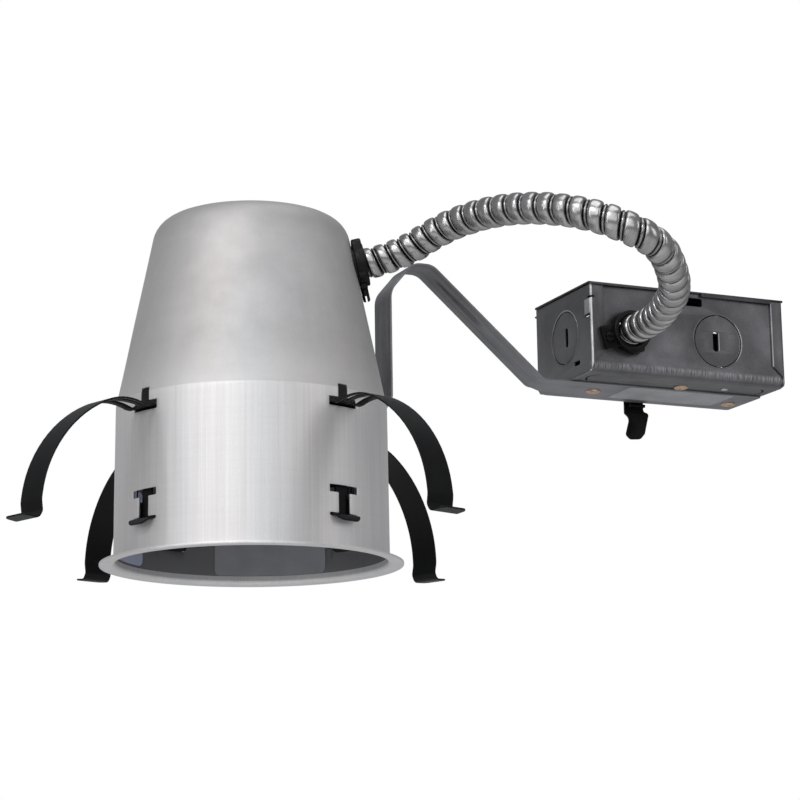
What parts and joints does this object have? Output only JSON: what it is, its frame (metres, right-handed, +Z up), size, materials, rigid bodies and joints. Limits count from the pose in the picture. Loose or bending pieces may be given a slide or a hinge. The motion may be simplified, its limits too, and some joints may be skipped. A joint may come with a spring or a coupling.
{
  "type": "recessed light housing",
  "caption": "Round ceiling light can with spring clips, side strap to a wiring box, flexible conduit between them, and a lamp holder on a sliding bracket inside.",
  "frame": {"origin": "centre of the can's flange, on the upper face that meets the ceiling", "axes": "+Z up along the can's axis into the ceiling void, +X towards the wiring box"},
  "size_m": [0.4254, 0.2816, 0.177],
  "materials": {
    "can_metal": "satin, fine drawn streaks",
    "black_spring": "black, semi-gloss",
    "strap_steel": "galvanised, dull",
    "box_steel": "galvanised, dull",
    "copper": "copper washed rivet",
    "zinc": "zinc plated",
    "black_fitting": "black, matt cast",
    "conduit_metal": "bright, ribbed",
    "lamp_steel": "galvanised",
    "porcelain": "glazed",
    "brass": "plain",
    "black_plastic": "moulded",
    "label": "blank label"
  },
  "bodies": {
    "housing": {"housing_can": "can_metal", "arm_strap": "strap_steel", "strap_rivets": "zinc", "box_body": "box_steel", "box_end_left": "box_steel", "box_end_right": "box_steel", "box_lid": "box_steel", "lid_screws": "zinc", "hinge_pins": "zinc", "box_connector": "black_fitting", "box_clamp_screw": "black_fitting", "box_locknut": "zinc", "can_connector": "black_fitting", "can_clamp_screw": "black_spring", "can_locknut": "zinc", "conduit": "conduit_metal", "copper_rivets": "copper", "cable_clamp": "box_steel", "ground_screw": "zinc", "lamp_rail": "lamp_steel", "rail_rivets": "copper", "thermal_protector": "black_plastic", "protector_rivet": "copper", "strap_label": "label", "label_inner_left": "label", "label_inner_far": "label"},
    "clip_front_right": {"clip_front_right": "black_spring"},
    "clip_rear_right": {"clip_rear_right": "black_spring"},
    "clip_rear_left": {"clip_rear_left": "black_spring"},
    "clip_front_left": {"clip_front_left": "black_spring"},
    "door": {"box_door": "box_steel", "latch_pin": "zinc"},
    "latch": {"latch_lever": "black_spring"},
    "lamp_carrier": {"lamp_plate": "lamp_steel", "slide_bolt": "zinc", "wing_nut": "zinc", "lamp_holder": "porcelain", "screw_shell": "brass", "centre_contact": "brass", "holder_screws": "zinc"}
  },
  "joints": [
    {"name": "clip_front_right_fold", "type": "hinge", "parent": "housing", "child": "clip_front_right", "pos_m": [0.02285, -0.06277, 0.07], "axis": [0.9397, 0.342, 0], "range_deg": [0, 40]},
    {"name": "clip_rear_right_fold", "type": "hinge", "parent": "housing", "child": "clip_rear_right", "pos_m": [0.06103, 0.02717, 0.07], "axis": [-0.4067, 0.9135, 0], "range_deg": [-4, 36]},
    {"name": "clip_rear_left_fold", "type": "hinge", "parent": "housing", "child": "clip_rear_left", "pos_m": [-0.0212, 0.06335, 0.07], "axis": [-0.9483, -0.3173, 0], "range_deg": [-1.5, 38.5]},
    {"name": "clip_front_left_fold", "type": "hinge", "parent": "housing", "child": "clip_front_left", "pos_m": [-0.06277, -0.02285, 0.07], "axis": [0.342, -0.9397, 0], "range_deg": [0, 40]},
    {"name": "door_swing", "type": "hinge", "parent": "housing", "child": "door", "pos_m": [0.232, 0.0312, 0.1492], "axis": [1, 0, 0], "range_deg": [0, 110]},
    {"name": "latch_swing", "type": "hinge", "parent": "door", "child": "latch", "pos_m": [0.234, 0.031, 0.11], "axis": [1, 0, 0], "range_deg": [0, 25]},
    {"name": "lamp_slide", "type": "slide", "parent": "housing", "child": "lamp_carrier", "axis": [0, 0, 1], "range_m": [-0.012, 0.034]}
  ]
}
